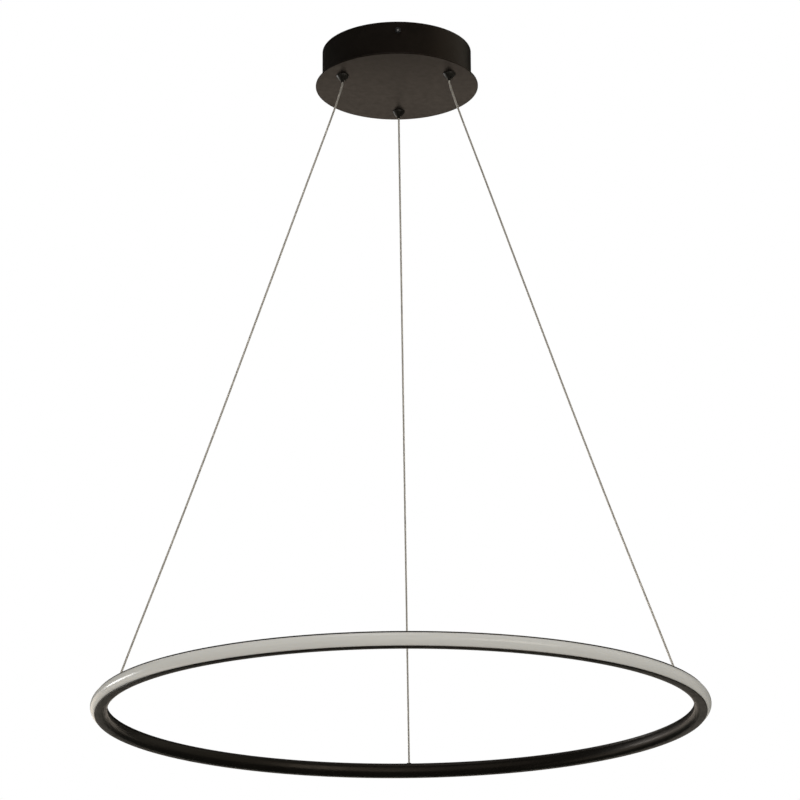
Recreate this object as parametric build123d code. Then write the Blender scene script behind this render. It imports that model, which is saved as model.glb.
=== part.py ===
from build123d import *
import math
import os

os.makedirs("parts", exist_ok=True)

# All sizes are millimetres. The ceiling is the plane z = 0 and the pendant hangs below it.
# +Y is the side of the far cable, and the two near cables are on the -Y side.

# Canopy drum and the wider plate under it
canopy_radius = 77.1
canopy_depth = 37.2
shell_wall = 1.0
shell_edge = 0.5
plate_overhang = 6.9
plate_thickness = 1.5
plate_edge = 0.4

# Ceiling bracket
bracket_thickness = 1.5
bracket_width = 26.0
bracket_bend = 2.0
shoulder_length = 4.0
tab_width = 16.0
tab_drop = 17.0
tab_gap = 0.8
slot_spacing = 88.0
slot_length = 22.0
slot_width = 5.2
cable_hole_radius = 5.5

# Side screws that hold the drum on the bracket
side_screw_drop = 10.0
side_screw_radius = 1.95
side_screw_length = 7.0
side_screw_turn = 2.7  # degrees round the drum from the strap's centre line
screw_head_radius = 3.0
screw_head_height = 2.0
screw_head_round = 0.9
screw_recess_width = 0.9
screw_recess_span = 3.7
screw_recess_depth = 1.0
hole_clearance = 0.25
thread_clearance = 0.05

# Cable grippers
gripper_setback = 13.8
gripper_angles = (90.0, 210.0, 330.0)
nose_radius = 6.4
nose_rim = 0.6
nose_length = 5.7
nose_tip_radius = 2.5
stem_radius = 5.0
stem_length = 16.0
washer_radius = 9.0
washer_thickness = 1.0
nut_across_flats = 14.0
nut_height = 5.0

# Inside of a gripper, with heights counted from the underside of the canopy plate
pin_radius = 1.6
pin_bore = 1.15
pin_reach = 1.9
pin_clearance = 0.06
seat_depth = 1.0
cage_radius = 2.3
cage_length = 5.0
collar_radius = 2.95
collar_height = 1.0
pin_tail = 4.5
pin_round = 0.25
taper_foot_radius = 2.45
taper_top_radius = 3.4
taper_length = 7.0
ball_radius = 0.8
ball_count = 3
ball_height = 2.2
ball_gap = 0.05
ball_pocket_gap = 0.05
cap_plug = 3.0
cap_flange = 1.5
cap_flange_radius = 4.4
cap_bore = 1.3
cap_edge = 0.6
spring_wire = 0.25
spring_radius = 2.7
spring_turns = 5
seat_gap = 0.05

# Cables and the height they hold the ring at
cable_radius = 1.0
cable_bend_drop = 0.2
ring_drop = 658.5

# Ring section
ring_radius = 300.0
diffuser_bulge = 4.0
ring_height = 14.4
profile_depth = 12.7
profile_round = 5.8
profile_edge = 0.35
lip = 1.1
floor_depth = 8.8
floor_round = 0.8
snap_depth = 0.35
snap_width = 1.2
snap_setback = 3.1
diffuser_wall = 1.2
diffuser_crown = 1.7
diffuser_leg = 3.5
diffuser_gap = 0.1
diffuser_joint_angle = 97.0
diffuser_joint = 0.3

# Light strip
strip_width = 8.0
strip_thickness = 0.4
strip_gap = 0.45
strip_break_angle = 150.0
strip_break_length = 20.0
chip_width = 2.8
chip_height = 3.5
chip_thickness = 0.8
chip_pitch = 15.1
chip_gap = 0.05

# Cable holes in the ring
hole_setback = 5.7
near_hole_angle = 27.5
bush_radius = 1.5
bush_bore = 1.1
bush_flange_radius = 2.5
bush_flange = 0.7
bush_round = 0.4
stop_radius = 1.8
stub_height = 0.2
lead_radius = 0.4
lead_drop = 4.0
lead_bend = 1.2
lead_pad = 2.0

# Driver
driver_length = 100.0
driver_width = 38.0
driver_height = 21.0
driver_wall = 1.6
driver_corner = 2.5
driver_least_corner = 0.3
driver_offset = 11.0
live_entry = -4.0
neutral_entry = -9.0
positive_exit = 13.0
negative_exit_inset = 6.0
cover_height = 6.0
cover_lip = 2.0
cover_gap = 0.15
cover_edge = 0.8
board_thickness = 1.6
board_stand = 3.0
board_gap = 0.5
boss_radius = 3.0
boss_inset = 7.0
transformer_place = (4.0, 0.0)
transformer_core = (20.0, 9.0, 12.0)
transformer_winding = (13.0, 17.0, 8.5)
winding_corner = 2.0
input_capacitor = (5.0, 12.5)
input_capacitor_place = (-22.0, 4.0)
output_capacitor = (4.0, 10.5)
output_capacitor_place = (24.0, 7.0)
capacitor_edge = 0.6
choke_place = (-36.0, 4.0)
choke_flange_radius = 5.0
choke_flange = 1.4
choke_core_radius = 3.4
choke_height = 9.0
pad_thickness = 1.0
pad_inset = 4.0

# Mains terminal and wires
terminal_length = 27.0
terminal_width = 17.0
terminal_height = 15.0
terminal_corner = 1.2
terminal_gap = 19.0
terminal_pitch = 8.5
terminal_bore = 1.3
terminal_screw_radius = 1.9
terminal_screw_length = 4.5
terminal_screw_spacing = 9.0
terminal_slot_width = 0.6
terminal_slot_depth = 1.1
wire_radius = 1.0
wire_hole = 1.3
wire_entry = 4.0
wire_seat_depth = 6.0
wire_gap = 0.1
wire_bend_share = 0.45
splice_radius = 2.4
splice_length = 14.0
splice_round = 0.7

# Routes of the wires, counted outwards from the driver's sides
live_lane_gap = 9.0
neutral_lane_gap = 5.0
live_bend_gap = 12.0
neutral_bend_gap = 8.0
positive_bend_gap = 11.0
negative_bend_gap = 15.0
positive_splice_start = -2.0
negative_splice_start = 14.0

# Routes of the cable tails inside the drum
tail_clearance = 5.5
positive_fall_y = -15.0
negative_fall_x = -1.0
spare_fall_step = (16.8, -14.4)
spare_end_step = (18.0, -2.0)

# Earth connection
earth_stud_gap_x = 22.5
earth_stud_gap_y = 8.0
earth_stud_radius = 2.0
earth_stud_length = 9.0
earth_nut_across = 7.0
earth_nut_height = 3.2
lug_radius = 4.0
lug_thickness = 0.8
lug_barrel_radius = 1.7
lug_barrel_length = 5.0
earth_wire_fall = 9.0

# Levels and radii that follow from the sizes above
plate_radius = canopy_radius + plate_overhang
gripper_circle = canopy_radius - gripper_setback
plate_under = -(canopy_depth + plate_thickness)
shell_floor = -canopy_depth + shell_wall
ring_level = plate_under - ring_drop
ring_top = ring_level + ring_height / 2
profile_outer = ring_radius - diffuser_bulge
profile_inner = profile_outer - profile_depth
channel_floor = profile_outer - floor_depth
channel_half = ring_height / 2 - lip
hole_circle = profile_outer - hole_setback
strip_inner = channel_floor + strip_gap
strip_outer = strip_inner + strip_thickness
pin_tip = plate_under - nose_length - pin_reach
cable_exit = pin_tip - cable_bend_drop
seat_level = plate_under - seat_depth
stem_top = plate_under + stem_length
cap_under = stem_top - cap_plug
collar_top = seat_level + seat_gap + cage_length + collar_height
driver_under = shell_floor + pad_thickness
case_height = driver_height - cover_height
board_under = driver_under + driver_wall + board_stand
board_top = board_under + board_thickness
wire_level = board_top + wire_radius + wire_gap
driver_front = driver_offset - driver_width / 2
driver_back = driver_offset + driver_width / 2
driver_end = driver_length / 2
terminal_under = shell_floor + pad_thickness
terminal_back = driver_front - terminal_gap
terminal_offset = terminal_back - terminal_width / 2
terminal_poles = (-terminal_pitch, 0.0, terminal_pitch)
wire_seat = terminal_back - wire_seat_depth
board_end = driver_end - wire_entry
positive_x = driver_end + positive_bend_gap
positive_splice = (positive_splice_start, positive_splice_start + splice_length)
negative_x = driver_end - negative_exit_inset
negative_y = driver_back + negative_bend_gap
negative_splice = (negative_splice_start, negative_splice_start + splice_length)
tail_level = -bracket_thickness - tail_clearance
spare_level = shell_floor + cable_radius + wire_gap
earth_stud_x = terminal_length / 2 + earth_stud_gap_x
earth_stud_y = driver_front - earth_stud_gap_y
lug_level = shell_floor + lug_barrel_radius
stub_top = ring_top + bush_flange + stub_height
hole_angles = (90.0, 180.0 + near_hole_angle, 360.0 - near_hole_angle)
lead_angles = (hole_angles[0], hole_angles[2])

CENTRED = (Align.CENTER, Align.CENTER, Align.CENTER)
STANDING = (Align.CENTER, Align.CENTER, Align.MIN)


def polar(radius, angle, z):
    turn = math.radians(angle)
    return Vector(radius * math.cos(turn), radius * math.sin(turn), z)


def standing(radius, foot, top, x=0.0, y=0.0):
    return Pos(x, y, foot) * Cylinder(radius, top - foot, align=STANDING)


def block(low, high):
    size = Vector(*high) - Vector(*low)
    middle = (Vector(*low) + Vector(*high)) / 2
    return Pos(middle) * Box(size.X, size.Y, size.Z, align=CENTRED)


def section_box(r_low, r_high, z_low, z_high):
    middle = Pos((r_low + r_high) / 2, (z_low + z_high) / 2)
    return middle * Rectangle(r_high - r_low, z_high - z_low)


def spun(section, angle=360.0, start=0.0):
    return Rot(0, 0, start) * revolve(Plane.XZ * section, axis=Axis.Z, revolution_arc=angle)


def hexagon_prism(across_flats, foot, height, bore):
    plan = RegularPolygon(across_flats / 2, 6, major_radius=False) - Circle(bore)
    return Pos(0, 0, foot) * extrude(plan, height)


# A wire or tail: straight runs joined by arcs as large as the shorter run allows
def tube(name, points, radius):
    points = [Vector(*point) for point in points]
    radii = []
    for before, corner, after in zip(points, points[1:], points[2:]):
        shorter = min((corner - before).length, (after - corner).length)
        half_turn = math.radians((corner - before).get_angle(after - corner)) / 2
        radii.append(wire_bend_share * shorter / math.tan(half_turn))
    path = FilletPolyline(*points, radius=radii)
    start = Plane(origin=points[0], z_dir=points[1] - points[0])
    solid = sweep(start * Circle(radius), path=path)
    share = solid.volume / (math.pi * radius**2 * path.length)
    rounded = [round(value, 1) for value in radii]
    print(f"{name}: arc radii {rounded}, length {path.length:.1f}")
    print(f"{name}: volume over section times length {share:.4f}")
    return solid


# A straight rod between two points, cut level at both ends
def level_cut_rod(top, foot, radius):
    run = top - foot
    spare = run.normalized() * (2 * radius)
    start = Plane(origin=foot - spare, z_dir=run)
    rod = start * Cylinder(radius, run.length + 2 * spare.length, align=STANDING)
    reach = 4 * ring_radius
    slab = Pos(0, 0, foot.Z) * Box(reach, reach, run.Z, align=STANDING)
    return rod & slab


def recess(depth):
    bar = Box(screw_recess_span, screw_recess_width, 2 * depth)
    return bar + Rot(0, 0, 90) * bar


# Ceiling fixing

def make_ceiling_bracket():
    tab_outer = canopy_radius - shell_wall - tab_gap
    tab_inner = tab_outer - bracket_thickness
    strap = block((-bracket_width / 2, -tab_outer, -bracket_thickness), (bracket_width / 2, tab_outer, 0))
    body = strap
    for side in (-1, 1):
        low, high = sorted((side * tab_inner, side * tab_outer))
        body += block((-tab_width / 2, low, -tab_drop), (tab_width / 2, high, -bracket_thickness / 2))
        inward = side * (tab_outer - shoulder_length)
        near, away = sorted((inward, side * (tab_outer + 1)))
        shoulder = block((tab_width / 2, near, -2 * bracket_thickness), (bracket_width, away, 1))
        body -= shoulder
        body -= mirror(shoulder, about=Plane.YZ)
    outside = [edge for edge in body.edges().filter_by(Axis.X)
               if abs(abs(edge.center().Y) - tab_outer) < 1e-3 and abs(edge.center().Z) < 1e-3]
    body = fillet(outside, bracket_bend)
    for side in (-1, 1):
        slot = Pos(0, side * slot_spacing / 2) * Rot(0, 0, 90) * SlotOverall(slot_length, slot_width)
        body -= extrude(Pos(0, 0, -2 * bracket_thickness) * slot, 4 * bracket_thickness)
        screw_line = Rot(0, 0, side_screw_turn) * Pos(0, side * tab_outer, -side_screw_drop) * Rot(90, 0, 0)
        body -= screw_line * Cylinder(side_screw_radius + thread_clearance, 6 * bracket_thickness)
    body -= standing(cable_hole_radius, -2 * bracket_thickness, bracket_thickness)
    return body


def make_side_screws():
    screws = []
    for turn in (0, 180):
        shank = Cylinder(side_screw_radius, side_screw_length, align=STANDING)
        seat = canopy_radius + seat_gap
        head = Pos(0, 0, side_screw_length) * Cylinder(screw_head_radius, screw_head_height, align=STANDING)
        crown = head.edges().filter_by(GeomType.CIRCLE).sort_by(Axis.Z)[-1]
        head = fillet(crown, screw_head_round)
        screw = shank + head - Pos(0, 0, side_screw_length + screw_head_height) * recess(screw_recess_depth)
        around = Rot(0, 0, turn + side_screw_turn)
        line = around * Pos(0, -seat + side_screw_length, -side_screw_drop) * Rot(90, 0, 0)
        screws.append(line * screw)
    return screws


# Canopy

def gripper_holes(foot, top):
    cuts = []
    for angle in gripper_angles:
        centre = polar(gripper_circle, angle, 0)
        cuts.append(standing(stem_radius + hole_clearance, foot, top, centre.X, centre.Y))
    return cuts


def make_canopy_shell():
    outside = fillet(
        section_box(0, canopy_radius, -canopy_depth, 0).vertices().sort_by(Axis.X)[-2:].sort_by(Axis.Y)[0],
        shell_edge,
    )
    hollow = section_box(-1, canopy_radius - shell_wall, shell_floor, 1)
    shell = spun(outside - hollow)
    shell -= gripper_holes(-canopy_depth - 1, shell_floor + 1)
    for side in (-1, 1):
        screw_line = Rot(0, 0, side_screw_turn) * Pos(0, side * canopy_radius, -side_screw_drop) * Rot(90, 0, 0)
        shell -= screw_line * Cylinder(side_screw_radius + hole_clearance, 6 * shell_wall)
    return shell


def make_canopy_plate():
    plate = standing(plate_radius, plate_under, -canopy_depth)
    plate = fillet(plate.edges().filter_by(GeomType.CIRCLE), plate_edge)
    return plate - gripper_holes(plate_under - 1, -canopy_depth + 1)


def make_mounting_pads():
    driver_pad = Pos(0, driver_offset, shell_floor) * Box(
        driver_length - 2 * pad_inset, driver_width - 2 * pad_inset, pad_thickness, align=STANDING)
    terminal_pad = Pos(0, terminal_offset, shell_floor) * Box(
        terminal_length - pad_inset, terminal_width - pad_inset, pad_thickness, align=STANDING)
    return [driver_pad, terminal_pad]


# Grippers, each made on the axis and then carried to its place on the circle

def make_gripper_body():
    nose = standing(nose_radius, plate_under - nose_rim, plate_under)
    cone_length = nose_length - nose_rim
    cone = Cone(nose_tip_radius, nose_radius, cone_length, align=STANDING)
    nose += Pos(0, 0, plate_under - nose_length) * cone
    body = nose + standing(stem_radius, plate_under, stem_top)
    body -= standing(pin_radius + pin_clearance, plate_under - nose_length - 1, seat_level + 1)
    body -= Pos(0, 0, seat_level) * Cone(taper_foot_radius, taper_top_radius, taper_length, align=STANDING)
    body -= standing(taper_top_radius, seat_level + taper_length, stem_top + 1)
    return body


def make_gripper_cap():
    plug = standing(taper_top_radius - pin_clearance, cap_under, stem_top)
    flange = Pos(0, 0, stem_top) * Cylinder(cap_flange_radius, cap_flange, align=STANDING)
    flange = chamfer(flange.edges().filter_by(GeomType.CIRCLE).sort_by(Axis.Z)[-1], cap_edge)
    return plug + flange - standing(cap_bore, cap_under - 1, stem_top + cap_flange + 1)


def ball_places():
    reach = cable_radius + ball_gap + ball_radius
    return [polar(reach, 360.0 * step / ball_count, seat_level + ball_height) for step in range(ball_count)]


def make_release_pin():
    cage_foot = seat_level + seat_gap
    cage_top = cage_foot + cage_length
    pin = standing(pin_radius, pin_tip, cage_foot + 0.5)
    tip_edge = pin.edges().filter_by(GeomType.CIRCLE).sort_by(Axis.Z)[0]
    pin = fillet(tip_edge, pin_round)
    pin += standing(cage_radius, cage_foot, cage_top)
    pin += standing(collar_radius, cage_top, collar_top)
    pin += standing(pin_radius, collar_top, collar_top + pin_tail)
    pin -= standing(pin_bore, pin_tip - 1, collar_top + pin_tail + 1)
    for step in range(ball_count):
        pocket = Rot(0, 0, 360.0 * step / ball_count) * Pos(0, 0, seat_level + ball_height) * Rot(0, 90, 0)
        pin -= pocket * Cylinder(ball_radius + ball_pocket_gap, cage_radius + 1, align=STANDING)
    return pin


def make_lock_balls():
    return [Pos(place) * Sphere(ball_radius) for place in ball_places()]


# One quarter turn of the spring as two tangent arcs that leave and arrive along the helix
def quarter_turn(start, start_way, end, end_way):
    chord = end - start
    ways = start_way + end_way
    spread = 2 * (1 - start_way.dot(end_way))
    along = chord.dot(ways)
    reach = (-along + math.sqrt(along**2 + spread * chord.dot(chord))) / spread
    middle = (start + end + (start_way - end_way) * reach) / 2
    middle_way = (end - end_way * reach - start - start_way * reach).normalized()
    return [
        Edge.make_tangent_arc(start, start_way, middle),
        Edge.make_tangent_arc(middle, middle_way, end),
    ]


def make_gripper_spring():
    foot = collar_top + seat_gap + spring_wire
    top = cap_under - seat_gap - spring_wire
    rise = (top - foot) / (2 * math.pi * spring_turns)
    def place(turn):
        return Vector(spring_radius * math.cos(turn), spring_radius * math.sin(turn), foot + rise * turn)
    def way(turn):
        return Vector(-spring_radius * math.sin(turn), spring_radius * math.cos(turn), rise).normalized()
    edges = []
    for step in range(4 * spring_turns):
        first = step * math.pi / 2
        last = first + math.pi / 2
        edges += quarter_turn(place(first), way(first), place(last), way(last))
    path = Wire(edges)
    spring = sweep(Plane(origin=place(0), z_dir=way(0)) * Circle(spring_wire), path=path)
    steps = [path.position_at(share / 200) for share in range(201)]
    turn_steps = 200 // spring_turns
    apart = min((a - b).length for i, a in enumerate(steps) for b in steps[i + turn_steps // 2:])
    print(f"gripper spring: length {path.length:.1f}, least gap to itself {apart - 2 * spring_wire:.2f}")
    return spring


def make_gripper_washer():
    foot = shell_floor
    return standing(washer_radius, foot, foot + washer_thickness) - standing(
        stem_radius + thread_clearance, foot - 1, foot + washer_thickness + 1)


def make_gripper_nut():
    foot = shell_floor + washer_thickness
    return hexagon_prism(nut_across_flats, foot, nut_height, stem_radius + thread_clearance)


def carried(shape, index):
    angle = gripper_angles[index]
    place = Pos(polar(gripper_circle, angle, 0)) * Rot(0, 0, angle)
    if isinstance(shape, list):
        return [place * item for item in shape]
    return place * shape


# Cables

def cable_top(index):
    return polar(gripper_circle, gripper_angles[index], cable_exit)


def cable_foot(index):
    return polar(hole_circle, hole_angles[index], stub_top)


def make_cable_tail(index):
    foot = cable_top(index)
    over = Vector(foot.X, foot.Y, tail_level)
    if index == 0:
        rest = [(negative_fall_x, negative_y, tail_level), (negative_fall_x, negative_y, wire_level),
                (negative_splice[0] - wire_gap, negative_y, wire_level)]
    elif index == 1:
        fall = foot + Vector(*spare_fall_step)
        end = fall + Vector(*spare_end_step)
        rest = [(fall.X, fall.Y, tail_level), (fall.X, fall.Y, spare_level), (end.X, end.Y, spare_level)]
    else:
        rest = [(positive_x, positive_fall_y, tail_level), (positive_x, positive_fall_y, wire_level),
                (positive_x, positive_splice[0] - wire_gap, wire_level)]
    return tube(f"cable_tail_{index + 1}", [foot, over, *rest], cable_radius)


def make_splice_tubes():
    positive = Pos(positive_x, sum(positive_splice) / 2, wire_level) * Rot(90, 0, 0)
    negative = Pos(sum(negative_splice) / 2, negative_y, wire_level) * Rot(0, 90, 0)
    sleeve = Cylinder(splice_radius, splice_length)
    sleeve = fillet(sleeve.edges().filter_by(GeomType.CIRCLE), splice_round)
    return [positive * sleeve, negative * sleeve]


# Driver

def driver_box(inset, foot, top):
    corner = max(driver_corner - inset, driver_least_corner)
    plan = RectangleRounded(driver_length - 2 * inset, driver_width - 2 * inset, corner)
    return Pos(0, driver_offset, foot) * extrude(plan, top - foot)


def make_driver_case():
    top = driver_under + case_height
    case = driver_box(0, driver_under, top) - driver_box(driver_wall, driver_under + driver_wall, top + 1)
    for side_x in (-1, 1):
        for side_y in (-1, 1):
            x = side_x * (driver_end - boss_inset)
            y = driver_offset + side_y * (driver_width / 2 - boss_inset)
            case += standing(boss_radius, driver_under + driver_wall / 2, board_under, x, y)
    hole = Cylinder(wire_hole, 4 * driver_wall)
    for y in (live_entry, neutral_entry):
        case -= Pos(-driver_end, driver_offset + y, wire_level) * Rot(0, 90, 0) * hole
    case -= Pos(driver_end, driver_offset + positive_exit, wire_level) * Rot(0, 90, 0) * hole
    case -= Pos(negative_x, driver_back, wire_level) * Rot(90, 0, 0) * hole
    return case


def make_driver_cover():
    foot = driver_under + case_height
    top = driver_under + driver_height
    cover = driver_box(0, foot, top)
    cover = fillet(cover.faces().sort_by(Axis.Z)[-1].edges(), cover_edge)
    cover += driver_box(driver_wall + cover_gap, foot - cover_lip, foot + driver_wall)
    return cover - driver_box(2 * driver_wall + cover_gap, foot - cover_lip - 1, top - driver_wall)


def make_driver_board():
    inset = driver_wall + board_gap
    return driver_box(inset, board_under, board_top)


def on_board(x, y):
    return Pos(x, driver_offset + y, board_top)


def make_driver_transformer():
    core = Box(*transformer_core, align=STANDING)
    lift = (transformer_core[2] - transformer_winding[2]) / 2
    winding = Pos(0, 0, lift) * Box(*transformer_winding, align=STANDING)
    winding = fillet(winding.edges().filter_by(Axis.Z), winding_corner)
    return on_board(*transformer_place) * (core + winding)


def make_driver_capacitors():
    cans = []
    x, y = output_capacitor_place
    places = (
        (input_capacitor_place, input_capacitor),
        ((x, y), output_capacitor),
        ((x, -y), output_capacitor),
    )
    for place, size in places:
        can = Cylinder(*size, align=STANDING)
        can = fillet(can.edges().filter_by(GeomType.CIRCLE).sort_by(Axis.Z)[-1], capacitor_edge)
        cans.append(on_board(*place) * can)
    return cans


def make_driver_choke():
    flange = Cylinder(choke_flange_radius, choke_flange, align=STANDING)
    choke = flange + Cylinder(choke_core_radius, choke_height, align=STANDING)
    choke += Pos(0, 0, choke_height - choke_flange) * flange
    return on_board(*choke_place) * choke


# Mains terminal, wires and earth

def terminal_screw_places():
    rows = (-terminal_screw_spacing / 2, terminal_screw_spacing / 2)
    return [(x, terminal_offset + y) for x in terminal_poles for y in rows]


def make_terminal_block():
    top = terminal_under + terminal_height
    body = Pos(0, terminal_offset, terminal_under) * Box(
        terminal_length, terminal_width, terminal_height, align=STANDING)
    body = fillet(body.edges().filter_by(Axis.Z), terminal_corner)
    bore = Rot(90, 0, 0) * Cylinder(terminal_bore, terminal_width + 2)
    for x in terminal_poles:
        body -= Pos(x, terminal_offset, wire_level) * bore
    for x, y in terminal_screw_places():
        body -= standing(terminal_screw_radius + hole_clearance, wire_level, top + 1, x, y)
    return body


def make_terminal_screws():
    foot = wire_level + wire_radius + wire_gap
    screws = []
    for x, y in terminal_screw_places():
        screw = standing(terminal_screw_radius, foot, foot + terminal_screw_length, x, y)
        slot = Pos(x, y, foot + terminal_screw_length) * Box(
            3 * terminal_screw_radius, terminal_slot_width, 2 * terminal_slot_depth)
        screws.append(screw - slot)
    return screws


def make_mains_wire(name, pole, lane_gap, bend_gap, entry):
    x = terminal_poles[pole]
    lane = driver_front - lane_gap
    bend = -driver_end - bend_gap
    inlet = driver_offset + entry
    points = [(x, wire_seat), (x, lane), (bend, lane), (bend, inlet), (-board_end, inlet)]
    return tube(name, [(*point, wire_level) for point in points], wire_radius)


def make_output_wire_positive():
    outlet = driver_offset + positive_exit
    points = [(board_end, outlet), (positive_x, outlet), (positive_x, positive_splice[1] + wire_gap)]
    return tube("output_wire_positive", [(*point, wire_level) for point in points], wire_radius)


def make_output_wire_negative():
    start = driver_back - wire_entry
    points = [(negative_x, start), (negative_x, negative_y), (negative_splice[1] + wire_gap, negative_y)]
    return tube("output_wire_negative", [(*point, wire_level) for point in points], wire_radius)


def make_earth_stud():
    top = shell_floor + earth_stud_length
    return standing(earth_stud_radius, shell_floor, top, earth_stud_x, earth_stud_y)


def make_earth_nut():
    nut = hexagon_prism(earth_nut_across, shell_floor + lug_thickness, earth_nut_height,
                        earth_stud_radius + thread_clearance)
    return Pos(earth_stud_x, earth_stud_y) * nut


def make_earth_lug():
    barrel_end = earth_stud_x - lug_radius
    barrel_start = barrel_end - lug_barrel_length
    barrel = Pos(barrel_start, earth_stud_y, lug_level) * Rot(0, 90, 0)
    lug = barrel * Cylinder(lug_barrel_radius, lug_barrel_length, align=STANDING)
    lug += standing(lug_radius, shell_floor, shell_floor + lug_thickness, earth_stud_x, earth_stud_y)
    lug += block((barrel_start, earth_stud_y - lug_barrel_radius, shell_floor),
                 (earth_stud_x, earth_stud_y + lug_barrel_radius, shell_floor + lug_thickness))
    lug -= barrel * Cylinder(wire_radius + thread_clearance, 2 * (lug_barrel_length - lug_thickness))
    eye = earth_stud_radius + thread_clearance
    return lug - standing(eye, shell_floor - 1, 0, earth_stud_x, earth_stud_y)


def make_earth_wire():
    x = terminal_poles[2]
    barrel_start = earth_stud_x - lug_radius - lug_barrel_length
    points = [(x, wire_seat, wire_level), (x, earth_stud_y, wire_level),
              (barrel_start - earth_wire_fall, earth_stud_y, lug_level),
              (barrel_start + lug_barrel_length / 2, earth_stud_y, lug_level)]
    return tube("earth_wire", points, wire_radius)


# Ring

def make_ring_profile():
    half = ring_height / 2
    outline = section_box(profile_inner, profile_outer, -half, half)
    inner_corners = outline.vertices().sort_by(Axis.X)[:2]
    outline = fillet(inner_corners, min(profile_round, 0.49 * ring_height))
    outer_corners = [v for v in outline.vertices() if abs(v.X - profile_outer) < 1e-6]
    outline = fillet(outer_corners, profile_edge)
    channel = section_box(channel_floor, profile_outer + 1, -channel_half, channel_half)
    floor_corners = channel.vertices().sort_by(Axis.X)[:2]
    outline -= fillet(floor_corners, floor_round)
    snap = section_box(profile_outer - snap_setback, profile_outer - snap_setback + snap_width,
                       -channel_half - snap_depth, channel_half + snap_depth)
    profile = Pos(0, 0, ring_level) * spun(outline - snap)
    for angle in hole_angles:
        centre = polar(hole_circle, angle, 0)
        hole = bush_radius + thread_clearance
        profile -= standing(hole, ring_top - 2 * lip, ring_top + 1, centre.X, centre.Y)
    return profile


def make_diffuser():
    half = channel_half - diffuser_gap
    arc_radius = (half**2 + diffuser_bulge**2) / (2 * diffuser_bulge)
    arc_centre = ring_radius - arc_radius
    outside = Pos(arc_centre, 0) * Circle(arc_radius)
    outside &= section_box(profile_outer, ring_radius + 1, -half, half)
    outside += section_box(profile_outer - diffuser_leg, profile_outer, -half, half)
    barb_reach = half + snap_depth - diffuser_gap
    barb_start = profile_outer - snap_setback + diffuser_gap
    outside += section_box(barb_start, barb_start + snap_width - 2 * diffuser_gap, -barb_reach, barb_reach)
    hollow = Pos(arc_centre, 0) * Ellipse(arc_radius - diffuser_crown, half - diffuser_wall)
    mouth = half - diffuser_wall
    hollow += section_box(profile_outer - diffuser_leg - 1, arc_centre, -mouth, mouth)
    joint = math.degrees(diffuser_joint / ring_radius)
    start = diffuser_joint_angle + joint / 2
    return Pos(0, 0, ring_level) * spun(outside - hollow, 360.0 - joint, start)


def make_led_strip():
    section = section_box(strip_inner, strip_outer, -strip_width / 2, strip_width / 2)
    gap = math.degrees(strip_break_length / strip_outer)
    return Pos(0, 0, ring_level) * spun(section, 360.0 - gap, strip_break_angle + gap / 2)


def arc_between(angle, other):
    turn = (angle - other + 180.0) % 360.0 - 180.0
    return math.radians(abs(turn)) * strip_outer


def make_led_chips():
    count = round(2 * math.pi * strip_outer / chip_pitch)
    kept_free = [(strip_break_angle, strip_break_length / 2 + chip_width)]
    kept_free += [(angle, chip_width) for angle in lead_angles]
    chips = []
    for step in range(count):
        angle = hole_angles[0] + 360.0 * (step + 0.5) / count
        if any(arc_between(angle, place) < reach for place, reach in kept_free):
            continue
        centre = polar(strip_outer + chip_gap + chip_thickness / 2, angle, ring_level)
        chip = Box(chip_thickness, chip_width, chip_height, align=CENTRED)
        chips.append(Pos(centre) * Rot(0, 0, angle) * chip)
    return chips


def make_cable_bush(index):
    centre = polar(hole_circle, hole_angles[index], 0)
    bush = standing(bush_radius, ring_top - lip, ring_top, centre.X, centre.Y)
    flange = standing(bush_flange_radius, ring_top, ring_top + bush_flange, centre.X, centre.Y)
    flange = fillet(flange.edges().filter_by(GeomType.CIRCLE).sort_by(Axis.Z)[-1], bush_round)
    bore = standing(bush_bore, ring_top - 2 * lip, ring_top + 2 * bush_flange, centre.X, centre.Y)
    return bush + flange - bore


def stop_level():
    contact = math.sqrt(stop_radius**2 - bush_bore**2)
    return ring_top - lip - contact - seat_gap


def make_cable_end(index):
    centre = polar(hole_circle, hole_angles[index], stop_level())
    return Pos(centre) * Sphere(stop_radius) + standing(cable_radius, centre.Z, stub_top, centre.X, centre.Y)


def make_strip_lead(name, angle):
    start_level = stop_level() - stop_radius - wire_gap
    end_level = start_level - lead_drop + wire_gap
    pad_reach = strip_outer + lead_radius + chip_gap
    points = [polar(hole_circle, angle, start_level), polar(hole_circle, angle, end_level + lead_bend),
              polar(pad_reach, angle, end_level), polar(pad_reach, angle, end_level - lead_pad)]
    return tube(name, points, lead_radius)


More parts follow.
